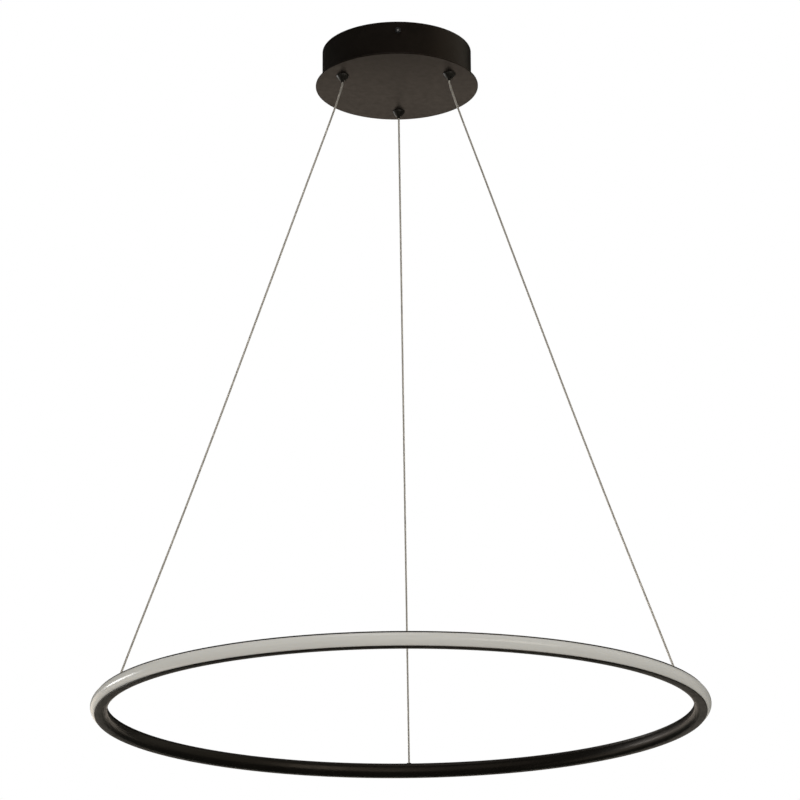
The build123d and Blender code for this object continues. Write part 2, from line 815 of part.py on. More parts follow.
pieces = {
    "ceiling_bracket": make_ceiling_bracket(),
    "canopy_side_screws": make_side_screws(),
    "canopy_shell": make_canopy_shell(),
    "canopy_plate": make_canopy_plate(),
    "mounting_pads": make_mounting_pads(),
    "gripper_washers": [carried(make_gripper_washer(), index) for index in range(3)],
    "gripper_nuts": [carried(make_gripper_nut(), index) for index in range(3)],
    "splice_tubes": make_splice_tubes(),
    "driver_case": make_driver_case(),
    "driver_cover": make_driver_cover(),
    "driver_board": make_driver_board(),
    "driver_transformer": make_driver_transformer(),
    "driver_capacitors": make_driver_capacitors(),
    "driver_choke": make_driver_choke(),
    "terminal_block": make_terminal_block(),
    "terminal_screws": make_terminal_screws(),
    "mains_wire_live": make_mains_wire("mains_wire_live", 0, live_lane_gap, live_bend_gap, live_entry),
    "mains_wire_neutral": make_mains_wire(
        "mains_wire_neutral", 1, neutral_lane_gap, neutral_bend_gap, neutral_entry),
    "output_wire_positive": make_output_wire_positive(),
    "output_wire_negative": make_output_wire_negative(),
    "earth_stud": make_earth_stud(),
    "earth_nut": make_earth_nut(),
    "earth_lug": make_earth_lug(),
    "earth_wire": make_earth_wire(),
    "ring_profile": make_ring_profile(),
    "diffuser": make_diffuser(),
    "led_strip": make_led_strip(),
    "led_chips": make_led_chips(),
    "strip_lead_negative": make_strip_lead("strip_lead_negative", lead_angles[0]),
    "strip_lead_positive": make_strip_lead("strip_lead_positive", lead_angles[1]),
}

for index in range(3):
    number = index + 1
    pieces[f"gripper_body_{number}"] = carried(make_gripper_body(), index)
    pieces[f"gripper_cap_{number}"] = carried(make_gripper_cap(), index)
    pieces[f"release_pin_{number}"] = carried(make_release_pin(), index)
    pieces[f"lock_balls_{number}"] = carried(make_lock_balls(), index)
    pieces[f"gripper_spring_{number}"] = carried(make_gripper_spring(), index)
    pieces[f"suspension_cable_{number}"] = level_cut_rod(cable_top(index), cable_foot(index), cable_radius)
    pieces[f"cable_tail_{number}"] = make_cable_tail(index)
    pieces[f"cable_bush_{number}"] = make_cable_bush(index)
    pieces[f"cable_end_{number}"] = make_cable_end(index)
    free_length = (cable_top(index) - cable_foot(index)).length
    print(f"suspension_cable_{number}: free length {free_length:.1f}")

for name, shape in pieces.items():
    if isinstance(shape, list):
        shape = Compound(children=shape)
    export_step(shape, f"parts/{name}.step")
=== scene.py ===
import math

import bmesh
import bpy
import numpy as np
from mathutils import Matrix, Vector


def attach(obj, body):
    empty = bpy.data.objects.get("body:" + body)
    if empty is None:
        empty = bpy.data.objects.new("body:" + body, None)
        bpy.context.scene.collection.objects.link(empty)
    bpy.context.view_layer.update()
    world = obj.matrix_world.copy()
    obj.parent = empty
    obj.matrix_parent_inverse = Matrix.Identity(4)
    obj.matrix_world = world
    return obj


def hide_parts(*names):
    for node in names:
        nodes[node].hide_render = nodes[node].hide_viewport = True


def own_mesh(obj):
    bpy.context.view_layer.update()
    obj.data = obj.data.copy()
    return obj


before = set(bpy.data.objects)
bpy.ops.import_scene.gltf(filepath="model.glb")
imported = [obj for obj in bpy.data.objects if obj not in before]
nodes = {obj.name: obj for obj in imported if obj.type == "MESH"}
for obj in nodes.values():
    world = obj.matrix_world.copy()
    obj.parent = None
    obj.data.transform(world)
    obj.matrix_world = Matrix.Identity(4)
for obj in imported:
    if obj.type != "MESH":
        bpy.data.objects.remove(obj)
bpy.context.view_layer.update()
mm = 0.001
tiny = 1e-9  # lengths and turns that differ by less count as equal
print("frame loaded,", len(nodes), "CAD nodes")


# The camera stands under the near edge of the ring and looks up, as fitted to the photograph's edges
cameraPlan = {
    "place": (0.0845, -2.9345, -1.3419),
    "turn": 0.0284,  # radians towards -X
    "climb": 0.3168,  # radians above the horizon
    "roll": -0.0065,
    "lens": 138.8,
    "sensor": 36.0,
    "farLimit": 200.0,
}


def placeCamera(plan):
    turn, climb, roll = plan["turn"], plan["climb"], plan["roll"]
    level = math.cos(climb)
    forward = Vector((-math.sin(turn) * level, math.cos(turn) * level, math.sin(climb)))
    right = forward.cross(Vector((0, 0, 1))).normalized()
    up = right.cross(forward)
    rolledRight = right * math.cos(roll) + up * math.sin(roll)
    rolledUp = up * math.cos(roll) - right * math.sin(roll)
    camera = bpy.data.objects.new("photoCamera", bpy.data.cameras.new("photoCamera"))
    bpy.context.scene.collection.objects.link(camera)
    turned = Matrix((rolledRight, rolledUp, -forward)).transposed().to_4x4()
    camera.matrix_world = Matrix.Translation(plan["place"]) @ turned
    camera.data.lens = plan["lens"]
    camera.data.sensor_width = plan["sensor"]
    camera.data.clip_end = plan["farLimit"]
    bpy.context.scene.camera = camera


placeCamera(cameraPlan)
bpy.context.scene.view_settings.view_transform = "Standard"
print("camera placed")


# Surfaces

mergeReach = 1e-7
slantWay = (0.31, 0.47, 0.83)  # no line runs this way, so it always gives a swept piece its side


# A grid of points becomes quads between neighbours; wrapped sides close on themselves, doubled points
# at poles are merged, and the faces are turned outwards where the enclosed volume comes out negative.
def gridPiece(name, points, wrapRows=False, wrapColumns=True, caps=False, sharp=40.0, values=None):
    rows, columns = points.shape[:2]
    index = np.arange(rows * columns).reshape(rows, columns)
    joined = np.vstack([index, index[:1]]) if wrapRows else index
    joined = np.hstack([joined, joined[:, :1]]) if wrapColumns else joined
    corners = (joined[:-1, :-1], joined[:-1, 1:], joined[1:, 1:], joined[1:, :-1])
    quads = np.stack(corners, axis=-1).reshape(-1, 4)
    flat = points.reshape(-1, 3)
    first, second, third, fourth = (flat[quads[:, k]] for k in range(4))
    volume = np.einsum("ij,ij->i", first, np.cross(second, third) + np.cross(third, fourth)).sum()
    inward = volume < 0
    faces = quads[:, ::-1].tolist() if inward else quads.tolist()
    if caps:
        ends = [index[0, ::-1].tolist(), index[-1].tolist()]
        faces += [end[::-1] for end in ends] if inward else ends
    mesh = bpy.data.meshes.new(name)
    mesh.from_pydata(flat.tolist(), [], faces)
    for label, amounts in (values or {}).items():
        attribute = mesh.attributes.new(label, "FLOAT", "POINT")
        attribute.data.foreach_set("value", amounts.ravel().astype(np.float32))
    shape = bmesh.new()
    shape.from_mesh(mesh)
    bmesh.ops.remove_doubles(shape, verts=shape.verts, dist=mergeReach)
    shape.to_mesh(mesh)
    shape.free()
    mesh.shade_smooth()
    mesh.set_sharp_from_angle(angle=math.radians(sharp))
    piece = bpy.data.objects.new(name, mesh)
    bpy.context.scene.collection.objects.link(piece)
    return piece


# An outline of corners (r, z, radius): a corner with a radius becomes an arc tangent to both sides.
def roundedOutline(corners, steps=8, closed=True):
    places = np.array([corner[:2] for corner in corners], float)
    points = []
    for k, (r, z, radius) in enumerate(corners):
        if radius == 0 or (not closed and k in (0, len(corners) - 1)):
            points.append([[r, z]])
            continue
        here = places[k]
        back = places[k - 1] - here
        ahead = places[(k + 1) % len(places)] - here
        back, ahead = back / np.linalg.norm(back), ahead / np.linalg.norm(ahead)
        half = math.acos(np.clip(back @ ahead, -1, 1)) / 2
        middle = (back + ahead) / np.linalg.norm(back + ahead)
        centre = here + middle * radius / math.sin(half)
        start = here + back * radius / math.tan(half) - centre
        end = here + ahead * radius / math.tan(half) - centre
        turn = math.pi - 2 * half
        share = np.linspace(0, 1, steps)[:, None]
        arc = np.sin((1 - share) * turn) * start + np.sin(share * turn) * end
        points.append(centre + arc / math.sin(turn))
    return np.vstack(points)


# A turned piece: point(k, a) = (r_k cos a, r_k sin a, z_k) about a vertical line through centre.
def turnedPoints(outline, steps, centre=(0.0, 0.0), start=0.0, sweep=2 * math.pi):
    whole = abs(sweep - 2 * math.pi) < tiny
    angles = start + np.linspace(0, sweep, steps, endpoint=not whole)
    r, z = outline[:, :1], outline[:, 1:]
    x = centre[0] + r * np.cos(angles)
    y = centre[1] + r * np.sin(angles)
    return np.stack([x, y, np.broadcast_to(z, x.shape)], axis=-1)


# The points of a route's smooth spline: a NURBS curve of order 3 on the route's points, spaced evenly.
def splinePoints(route, spacing):
    curve = bpy.data.curves.new("route", "CURVE")
    curve.dimensions = "3D"
    curve.resolution_u = 24
    spline = curve.splines.new("NURBS")
    spline.points.add(len(route) - 1)
    spline.points.foreach_set("co", np.array([(*point, 1.0) for point in route], float).ravel())
    spline.order_u = 3
    spline.use_endpoint_u = True
    holder = bpy.data.objects.new("route", curve)
    bpy.context.scene.collection.objects.link(holder)
    line = bpy.data.meshes.new_from_object(holder)
    places = np.array([vertex.co for vertex in line.vertices])
    bpy.data.objects.remove(holder)
    bpy.data.curves.remove(curve)
    bpy.data.meshes.remove(line)
    along = np.concatenate([[0], np.cumsum(np.linalg.norm(np.diff(places, axis=0), axis=1))])
    even = np.linspace(0, along[-1], max(2, round(along[-1] / spacing) + 1))
    return np.stack([np.interp(even, along, places[:, axis]) for axis in range(3)], axis=-1), even


# A swept piece: point(s, a) = line(s) + r(s, a) (cos(a + t) N + sin(a + t) B), with N and B square to
# the line and t(s) the twist.
def sweptPoints(line, radii, twist=0.0):
    tangent = np.gradient(line, axis=0)
    tangent /= np.linalg.norm(tangent, axis=1, keepdims=True)
    side = np.cross(tangent, slantWay)
    side /= np.linalg.norm(side, axis=1, keepdims=True)
    other = np.cross(tangent, side)
    angles = np.linspace(0, 2 * math.pi, radii.shape[1], endpoint=False) + np.reshape(twist, (-1, 1))
    cosine, sine = np.cos(angles)[..., None], np.sin(angles)[..., None]
    across = side[:, None] * cosine + other[:, None] * sine
    return line[:, None] + radii[..., None] * across


# Finishes

def newFinish(name, colour, roughness, metallic=0.0, **sockets):
    finish = bpy.data.materials.new(name)
    finish.use_nodes = True
    shader = finish.node_tree.nodes["Principled BSDF"]
    shader.inputs["Base Color"].default_value = (*colour, 1)
    shader.inputs["Roughness"].default_value = roughness
    shader.inputs["Metallic"].default_value = metallic
    for label, value in sockets.items():
        shader.inputs[label].default_value = value
    return finish


def shaderOf(finish):
    return finish.node_tree.nodes["Principled BSDF"]


def addNode(finish, kind, values=None, **settings):
    node = finish.node_tree.nodes.new(kind)
    for label, value in settings.items():
        setattr(node, label, value)
    for label, value in (values or {}).items():
        node.inputs[label].default_value = value
    return node


def join(finish, source, target):
    finish.node_tree.links.new(source, target)


def placeOf(finish):
    return addNode(finish, "ShaderNodeTexCoord").outputs["Object"]


def noiseOf(finish, scale, detail=3.0, stretch=(1, 1, 1), rough=0.5):
    mapping = addNode(finish, "ShaderNodeMapping", {"Scale": stretch})
    join(finish, placeOf(finish), mapping.inputs["Vector"])
    noise = addNode(finish, "ShaderNodeTexNoise", {
        "Scale": scale, "Detail": detail, "Roughness": rough})
    join(finish, mapping.outputs["Vector"], noise.inputs["Vector"])
    return noise.outputs["Fac"]


def rangeOf(finish, source, low, high, fromLow=0.3, fromHigh=0.7):
    spread = addNode(finish, "ShaderNodeMapRange", {
        "From Min": fromLow, "From Max": fromHigh, "To Min": low, "To Max": high})
    join(finish, source, spread.inputs["Value"])
    return spread.outputs["Result"]


def mixOf(finish, amount, first, second):
    mix = addNode(finish, "ShaderNodeMix", data_type="RGBA")
    join(finish, amount, mix.inputs["Factor"])
    for end, socket in ((first, mix.inputs[6]), (second, mix.inputs[7])):
        if isinstance(end, tuple):
            socket.default_value = (*end, 1)
        else:
            join(finish, end, socket)
    return mix.outputs[2]


weatherPlan = {"toneDetail": 5.0, "sheenDetail": 4.0, "grainDetail": 2.0, "grainStrength": 0.6}


# Colour that drifts between two tones, roughness that drifts between two levels, and a fine raised
# grain. Each look below says the tones, the levels, how fine each drifts and how high the grain is.
def weather(finish, tones, toneScale, roughness, roughScale, grainScale, grainHeight,
            stretch=(1, 1, 1)):
    shader = shaderOf(finish)
    tone = rangeOf(finish, noiseOf(finish, toneScale, weatherPlan["toneDetail"], stretch), 0, 1)
    join(finish, mixOf(finish, tone, *tones), shader.inputs["Base Color"])
    sheen = noiseOf(finish, roughScale, weatherPlan["sheenDetail"], stretch)
    join(finish, rangeOf(finish, sheen, *roughness), shader.inputs["Roughness"])
    bump = addNode(finish, "ShaderNodeBump", {
        "Strength": weatherPlan["grainStrength"], "Distance": grainHeight})
    grain = noiseOf(finish, grainScale, weatherPlan["grainDetail"], stretch)
    join(finish, grain, bump.inputs["Height"])
    join(finish, bump.outputs["Normal"], shader.inputs["Normal"])


def replaceWith(piece, finish, body, slot, *hidden):
    piece.data.materials.clear()
    piece.data.materials.append(finish)
    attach(piece, body)
    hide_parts(*hidden)


# Puts a finish on every CAD node that has this slot of the record
def dress(slotName, finish):
    for node in nodes.values():
        for place in node.material_slots:
            if place.material and place.material.name == slotName:
                place.link = "OBJECT"
                place.material = finish


# Suspension cables: nineteen-wire strand, pulled tight between gripper and ring
cablePlan = {
    "radius": 1.0 * mm,
    "length": 681.5 * mm,
    "lay": 16.0 * mm,  # length of one turn of the wires
    "outerWires": 12,
    "columns": 72,
    "spacing": 0.85 * mm,
    "gripperCircle": 63.3 * mm,
    "gripperAngles": (90.0, 210.0, 330.0),
    "exitLevel": -46.5 * mm,
    "holeCircle": 290.3 * mm,
    "holeAngles": (90.0, 207.5, 332.5),
    "footLevel": -689.1 * mm,
    "travel": 350.0 * mm,
    # share of the way down, and how far the stiff cable bows inwards there in the photograph
    "bow": (
        (0.0025, 0.565 * mm),  # straight under the exit
        (0.0073, 0.885 * mm), (0.018, 1.4 * mm), (0.044, 1.95 * mm), (0.09, 2.2 * mm),
        (0.17, 2.1 * mm), (0.25, 2.3 * mm), (0.33, 2.6 * mm), (0.42, 2.8 * mm), (0.5, 3.0 * mm),
        (0.58, 3.1 * mm), (0.67, 2.9 * mm), (0.75, 2.5 * mm), (0.83, 1.7 * mm), (0.91, 0.7 * mm),
        (0.956, 0.25 * mm), (0.982, 0.05 * mm),
    ),
    "domeSteps": 6,
}


def onCircle(radius, degrees, z):
    turn = math.radians(degrees)
    return np.array((radius * math.cos(turn), radius * math.sin(turn), z))


# Strand surface: outer wires of radius a touch on a circle of radius c, with a + c = R and
# a = c sin(pi / n), so r(d) = c cos d + sqrt(a^2 - (c sin d)^2) at the angle d from the nearest wire.
def strandRadii(plan):
    angles = np.linspace(0, 2 * math.pi, plan["columns"], endpoint=False)
    pitch = 2 * math.pi / plan["outerWires"]
    offset = (angles + pitch / 2) % pitch - pitch / 2
    circle = plan["radius"] / (1 + math.sin(pitch / 2))
    wire = plan["radius"] - circle
    return circle * np.cos(offset) + np.sqrt(np.maximum(wire**2 - (circle * np.sin(offset))**2, 0))


# A domed start adds rows at r sin t before the route, with radii that shrink as cos t: a tail ends so
# inside the free cable, and no gap opens between them where the cable turns out of its gripper.
def stranded(name, route, plan, domed=False):
    line, along = splinePoints(route, plan["spacing"])
    fullness = np.ones_like(along)
    if domed:
        turn = np.linspace(math.pi / 2, 0, plan["domeSteps"] + 1)[1:-1]
        reach = plan["radius"] * np.sin(turn)
        back = (line[0] - line[1]) / np.linalg.norm(line[0] - line[1])
        line = np.vstack([line[0] + reach[:, None] * back, line])
        along = np.concatenate([-reach, along])
        fullness = np.concatenate([np.cos(turn), fullness])
    radii = strandRadii(plan)
    grid = sweptPoints(line, fullness[:, None] * radii, 2 * math.pi * along / plan["lay"])
    crown = np.tile(radii / plan["radius"], (len(line), 1))
    return gridPiece(name, grid, caps=True, sharp=80, values={"crown": crown}), line


strandLook = {
    "grooveShadeTone": (0.42, 0.39, 0.34),
    "crownSheenTone": (0.74, 0.7, 0.63),
    "crownRise": (0.77, 0.97),  # shares of the radius where the painted groove shade ends and the painted crown sheen begins
    "driftTone": (0.54, 0.505, 0.44),
    "driftShare": (0, 0.3),
    "driftScale": 35,
    "sheen": (0.38, 0.52),
    "sheenScale": 260,
}
strandSteel = newFinish("strandSteel", (0.5, 0.47, 0.42), 0.3, metallic=0.68)
# Painted shade and sheen: the grooves between the outer wires are darkened and the wire crowns
# lightened in the base colour
crown = addNode(strandSteel, "ShaderNodeAttribute", attribute_name="crown").outputs["Fac"]
crownSheenShare = rangeOf(strandSteel, crown, 0, 1, *strandLook["crownRise"])
crownSheenTone = mixOf(strandSteel, crownSheenShare, strandLook["grooveShadeTone"], strandLook["crownSheenTone"])
drift = rangeOf(strandSteel, noiseOf(strandSteel, strandLook["driftScale"]), *strandLook["driftShare"])
strandTone = mixOf(strandSteel, drift, crownSheenTone, strandLook["driftTone"])
join(strandSteel, strandTone, shaderOf(strandSteel).inputs["Base Color"])
strandSheen = rangeOf(strandSteel, noiseOf(strandSteel, strandLook["sheenScale"]), *strandLook["sheen"])
join(strandSteel, strandSheen, shaderOf(strandSteel).inputs["Roughness"])

cableAngles = zip(cablePlan["gripperAngles"], cablePlan["holeAngles"])
for number, (gripperAngle, holeAngle) in enumerate(cableAngles, 1):
    top = onCircle(cablePlan["gripperCircle"], gripperAngle, cablePlan["exitLevel"])
    foot = onCircle(cablePlan["holeCircle"], holeAngle, cablePlan["footLevel"])
    inward = (top - foot) * (1, 1, 0)
    inward = inward / np.linalg.norm(inward)
    bowed = [top + share * (foot - top) + offset * inward for share, offset in cablePlan["bow"]]
    cable, line = stranded(f"steelCable{number}", [top, *bowed, foot], cablePlan)
    replaceWith(cable, strandSteel, "canopy", "cable_steel", f"suspension_cable_{number}")
    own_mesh(cable)
print("suspension cables stranded")


# Ring: a bent aluminium channel, rounded on its inner side, with an opal strip in its outer mouth
ringPlan = {
    "level": -697.2 * mm,
    "inner": 283.3 * mm,
    "outer": 296.0 * mm,
    "half": 7.2 * mm,
    "innerRound": 5.8 * mm,
    "edgeRound": 0.35 * mm,
    "mouthHalf": 6.1 * mm,
    "floor": 287.2 * mm,
    "floorRound": 0.8 * mm,
    "grooveStart": 292.9 * mm,
    "grooveEnd": 294.1 * mm,
    "grooveDepth": 0.35 * mm,
    "mouthEdge": 0.15 * mm,
    "steps": 720,
}


def ringOutline(plan):
    half, mouth = plan["half"], plan["mouthHalf"]
    groove = mouth + plan["grooveDepth"]
    upper = [
        (plan["floor"], mouth, plan["floorRound"]),
        (plan["grooveStart"], mouth, 0),
        (plan["grooveStart"], groove, 0),
        (plan["grooveEnd"], groove, 0),
        (plan["grooveEnd"], mouth, 0),
        (plan["outer"], mouth, plan["mouthEdge"]),
        (plan["outer"], half, plan["edgeRound"]),
        (plan["inner"], half, plan["innerRound"]),
    ]
    lower = [(r, -z, radius) for r, z, radius in reversed(upper)]
    outline = roundedOutline(upper + lower)
    return outline + np.array((0, plan["level"]))


ringBlack = newFinish("ringBlack", (0.004, 0.0036, 0.003), 0.24, **{
    "Specular IOR Level": 0.3, "Specular Tint": (1.0, 0.84, 0.68, 1)})
ringLook = {
    "tones": ((0.003, 0.0027, 0.0022), (0.0055, 0.005, 0.004)), "toneScale": 14,
    "roughness": (0.33, 0.39), "roughScale": 90, "grainScale": 2600, "grainHeight": 4e-7,
}
weather(ringBlack, **ringLook)
ringPoints = turnedPoints(ringOutline(ringPlan), ringPlan["steps"])
ringChannel = gridPiece("ringChannel", ringPoints, wrapRows=True)
replaceWith(ringChannel, ringBlack, "ring", "ring_black", "ring_profile")

diffuserPlan = {
    "crest": 300.0 * mm,
    "mouth": 296.0 * mm,
    "half": 6.0 * mm,
    "legEnd": 292.5 * mm,
    "barbStart": 293.0 * mm,
    "barbEnd": 294.0 * mm,
    "barbReach": 6.25 * mm,
    "hollowCentre": 293.5 * mm,
    "hollowHalf": 4.8 * mm,
    "arcSteps": 25,
    "jointAngle": 97.0,
    "joint": 0.3 * mm,
    "steps": 720,
}


# Outer face: the arc through both mouth edges and the crest; inner face: a half circle of the hollow.
def diffuserOutline(plan):
    half, bulge = plan["half"], plan["crest"] - plan["mouth"]
    radius = (half**2 + bulge**2) / (2 * bulge)
    middle = plan["crest"] - radius
    reach = math.asin(half / radius)
    face = np.linspace(-reach, reach, plan["arcSteps"])
    outside = np.stack([middle + radius * np.cos(face), radius * np.sin(face)], axis=-1)
    turn = np.linspace(math.pi / 2, -math.pi / 2, plan["arcSteps"])
    inside = plan["hollowHalf"] * np.stack([np.cos(turn), np.sin(turn)], axis=-1)
    hollow = inside + np.array((plan["hollowCentre"], 0))
    leg = np.array([
        (plan["barbEnd"], half),
        (plan["barbEnd"], plan["barbReach"]),
        (plan["barbStart"], plan["barbReach"]),
        (plan["barbStart"], half),
        (plan["legEnd"], half),
        (plan["legEnd"], plan["hollowHalf"]),
    ])
    mirrored = leg[::-1] * (1, -1)
    return np.vstack([outside, leg, hollow, mirrored]) + np.array((0, ringPlan["level"]))


opalStrip = newFinish("opalStrip", (0.58, 0.56, 0.515), 0.24, **{
    "Specular IOR Level": 0.42, "Subsurface Weight": 0.25, "Subsurface Radius": (1.0, 0.9, 0.75),
    "Subsurface Scale": 0.003})
opalLook = {
    "tones": ((0.565, 0.55, 0.505), (0.6, 0.585, 0.54)), "toneScale": 9,
    "roughness": (0.21, 0.27), "roughScale": 70, "grainScale": 900, "grainHeight": 2e-6,
    "stretch": (0.15, 0.15, 1.0),  # drawn out along the strip
}
weather(opalStrip, **opalLook)
jointTurn = diffuserPlan["joint"] / diffuserPlan["crest"]
diffuserPoints = turnedPoints(
    diffuserOutline(diffuserPlan), diffuserPlan["steps"],
    start=math.radians(diffuserPlan["jointAngle"]) + jointTurn / 2, sweep=2 * math.pi - jointTurn)
opalDiffuser = gridPiece("opalDiffuser", diffuserPoints.transpose(1, 0, 2), caps=True, sharp=30)
replaceWith(opalDiffuser, opalStrip, "ring", "diffuser_opal", "diffuser")
print("ring channel and diffuser turned")


# Canopy: an open drum with a wider disc under it, both powder coated
canopyPlan = {
    "radius": 77.1 * mm,
    "depth": 37.2 * mm,
    "wall": 1.0 * mm,
    "edge": 0.5 * mm,
    "rimEdge": 0.15 * mm,
    "discRadius": 84.0 * mm,
    "discThickness": 1.5 * mm,
    "discEdge": 0.4 * mm,
    "steps": 256,
}


def drumOutline(plan):
    inside = plan["radius"] - plan["wall"]
    floor = -plan["depth"] + plan["wall"]
    return roundedOutline([
        (0.0, -plan["depth"], 0),
        (plan["radius"], -plan["depth"], plan["edge"]),
        (plan["radius"], 0.0, plan["rimEdge"]),
        (inside, 0.0, plan["rimEdge"]),
        (inside, floor, plan["edge"]),
        (0.0, floor, 0),
    ], closed=False)


def discOutline(plan):
    under = -plan["depth"] - plan["discThickness"]
    return roundedOutline([
        (0.0, under, 0),
        (plan["discRadius"], under, plan["discEdge"]),
        (plan["discRadius"], -plan["depth"], plan["discEdge"]),
        (0.0, -plan["depth"], 0),
    ], closed=False)


powderBlack = newFinish("powderBlack", (0.004, 0.0036, 0.003), 0.45, **{
    "Specular IOR Level": 0.4, "Specular Tint": (1.0, 0.73, 0.56, 1)})
powderLook = {
    "tones": ((0.0032, 0.003, 0.0024), (0.005, 0.0044, 0.0036)), "toneScale": 22,
    "roughness": (0.36, 0.43), "roughScale": 160, "grainScale": 2200, "grainHeight": 2e-5,
}
weather(powderBlack, **powderLook)
canopyDrum = gridPiece("canopyDrum", turnedPoints(drumOutline(canopyPlan), canopyPlan["steps"]))
replaceWith(canopyDrum, powderBlack, "canopy", "canopy_black", "canopy_shell")
canopyDisc = gridPiece("canopyDisc", turnedPoints(discOutline(canopyPlan), canopyPlan["steps"]))
replaceWith(canopyDisc, powderBlack, "canopy", "canopy_black", "canopy_plate")
print("canopy turned")


# Grippers: a conical nose and a threaded stem, turned in one, with a spring inside
gripperPlan = {
    "plateUnder": -38.7 * mm,
    "tipRadius": 2.5 * mm,
    "noseLength": 5.7 * mm,
    "noseRadius": 6.4 * mm,
    "noseRim": 0.6 * mm,
    "noseCrown": 0.1 * mm,  # how far the flank swells out of a straight cone
    "noseSteps": 14,
    "stemRadius": 5.0 * mm,
    "stemLength": 16.0 * mm,
    "pinBore": 1.66 * mm,
    "seatDepth": 1.0 * mm,
    "taperFoot": 2.45 * mm,
    "chamber": 3.4 * mm,
    "taperLength": 7.0 * mm,
    "threadStart": 0.6 * mm,
    "threadPitch": 1.0 * mm,
    "threadDepth": 0.3 * mm,
    "threadStep": 0.1 * mm,
    "steps": 72,
}


def gripperOutline(plan):
    under, stem = plan["plateUnder"], plan["stemRadius"]
    top = under + plan["stemLength"]
    tip = under - plan["noseLength"]
    seat = under - plan["seatDepth"]
    share = np.linspace(0, 1, plan["noseSteps"])
    swell = 4 * plan["noseCrown"] * share * (1 - share)
    flank = np.stack([
        plan["tipRadius"] + share * (plan["noseRadius"] - plan["tipRadius"]) + swell,
        tip + share * (plan["noseLength"] - plan["noseRim"])], axis=-1)
    outside = np.vstack([[(plan["pinBore"], tip)], flank, [(plan["noseRadius"], under), (stem, under)]])
    levels = np.arange(under + plan["threadStep"], top, plan["threadStep"])
    thread = np.stack([np.full_like(levels, stem), levels], axis=-1)
    inside = np.array([
        (stem - plan["threadDepth"], top),
        (plan["chamber"], top),
        (plan["chamber"], seat + plan["taperLength"]),
        (plan["taperFoot"], seat),
        (plan["pinBore"], seat),
    ])
    return np.vstack([outside, thread, inside])


# Thread: each point of the stem moves in by depth (1 - cos(2 pi z / pitch - a)) / 2, one turn a pitch.
def gripperPoints(plan, centre, start):
    outline = gripperOutline(plan)
    grid = turnedPoints(outline, plan["steps"], start=start)
    angles = np.linspace(0, 2 * math.pi, plan["steps"], endpoint=False)
    level = outline[:, 1:] - plan["plateUnder"]
    onStem = np.abs(outline[:, :1] - plan["stemRadius"]) < tiny
    threaded = onStem & (level > plan["threadStart"])
    wave = (1 - np.cos(2 * math.pi * level / plan["threadPitch"] - angles[None, :])) / 2
    share = 1 - threaded * wave * plan["threadDepth"] / plan["stemRadius"]
    return grid * np.stack([share, share, np.ones_like(share)], axis=-1) + np.array((*centre, 0.0))


springPlan = {
    "radius": 2.7 * mm,
    "wire": 0.25 * mm,
    "turns": 5,
    "foot": -33.35 * mm,
    "top": -26.0 * mm,
    "anchorLevel": -25.7 * mm,
    "travel": 1.8 * mm,
    "steps": 240,
    "columns": 10,
}


# Spring: line(t) = (R cos t, R sin t, rise t) about the gripper's axis, swept with a round wire.
def springPoints(plan, centre, start):
    turn = np.linspace(0, 2 * math.pi * plan["turns"], plan["steps"])
    x = centre[0] + plan["radius"] * np.cos(turn + start)
    y = centre[1] + plan["radius"] * np.sin(turn + start)
    z = np.linspace(plan["foot"], plan["top"], plan["steps"])
    line = np.stack([x, y, z], axis=-1)
    return sweptPoints(line, np.full((plan["steps"], plan["columns"]), plan["wire"]))


gripperBlack = newFinish("gripperBlack", (0.005, 0.005, 0.004), 0.26, **{
    "Specular Tint": (1.0, 0.94, 0.86, 1), "Coat Weight": 0.1, "Coat Roughness": 0.2})
gripperLook = {
    "tones": ((0.0055, 0.005, 0.0032), (0.009, 0.0082, 0.0056)), "toneScale": 240,
    "roughness": (0.34, 0.42), "roughScale": 600, "grainScale": 9000, "grainHeight": 1e-6,
}
weather(gripperBlack, **gripperLook)
springSteel = newFinish("springSteel", (0.42, 0.41, 0.39), 0.28, metallic=0.9)
springLook = {
    "tones": ((0.36, 0.35, 0.33), (0.5, 0.48, 0.45)), "toneScale": 500,
    "roughness": (0.22, 0.36), "roughScale": 900, "grainScale": 6000, "grainHeight": 2e-6,
}
weather(springSteel, **springLook)

for number, gripperAngle in enumerate(cablePlan["gripperAngles"], 1):
    centre = onCircle(cablePlan["gripperCircle"], gripperAngle, 0.0)[:2]
    start = math.radians(gripperAngle)
    bodyPoints = gripperPoints(gripperPlan, centre, start)
    body = gridPiece(f"gripperBody{number}", bodyPoints, wrapRows=True, sharp=40)
    replaceWith(body, gripperBlack, "canopy", "gripper_black", f"gripper_body_{number}")
    spring = gridPiece(f"gripperSpring{number}", springPoints(springPlan, centre, start), caps=True)
    replaceWith(spring, springSteel, "canopy", "spring_steel", f"gripper_spring_{number}")
    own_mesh(spring)
print("grippers threaded and sprung")


# Cable tails and wires inside the canopy, laid on the CAD routes, in millimetres
tailRoutes = (
    ((0, 63.3, -46.5), (0, 63.3, -25.3), (0, 63.3, -7),
     (-1, 45, -7), (-1, 45, -27.9), (13.9, 45, -27.9)),
    ((-54.82, -31.65, -46.5), (-54.82, -31.65, -29.1), (-54.82, -31.65, -7),
     (-38.02, -46.05, -7), (-38.02, -46.05, -35.1), (-20.02, -48.05, -35.1)),
    ((54.82, -31.65, -46.5), (54.82, -31.65, -24.8), (54.82, -31.65, -7),
     (61, -15, -7), (61, -15, -27.9), (61, -2.1, -27.9)),
)
for number, route in enumerate(tailRoutes, 1):
    tail, _ = stranded(f"cableTail{number}", np.array(route) * mm, cablePlan, domed=True)
    replaceWith(tail, strandSteel, "canopy", "cable_steel", f"cable_tail_{number}")

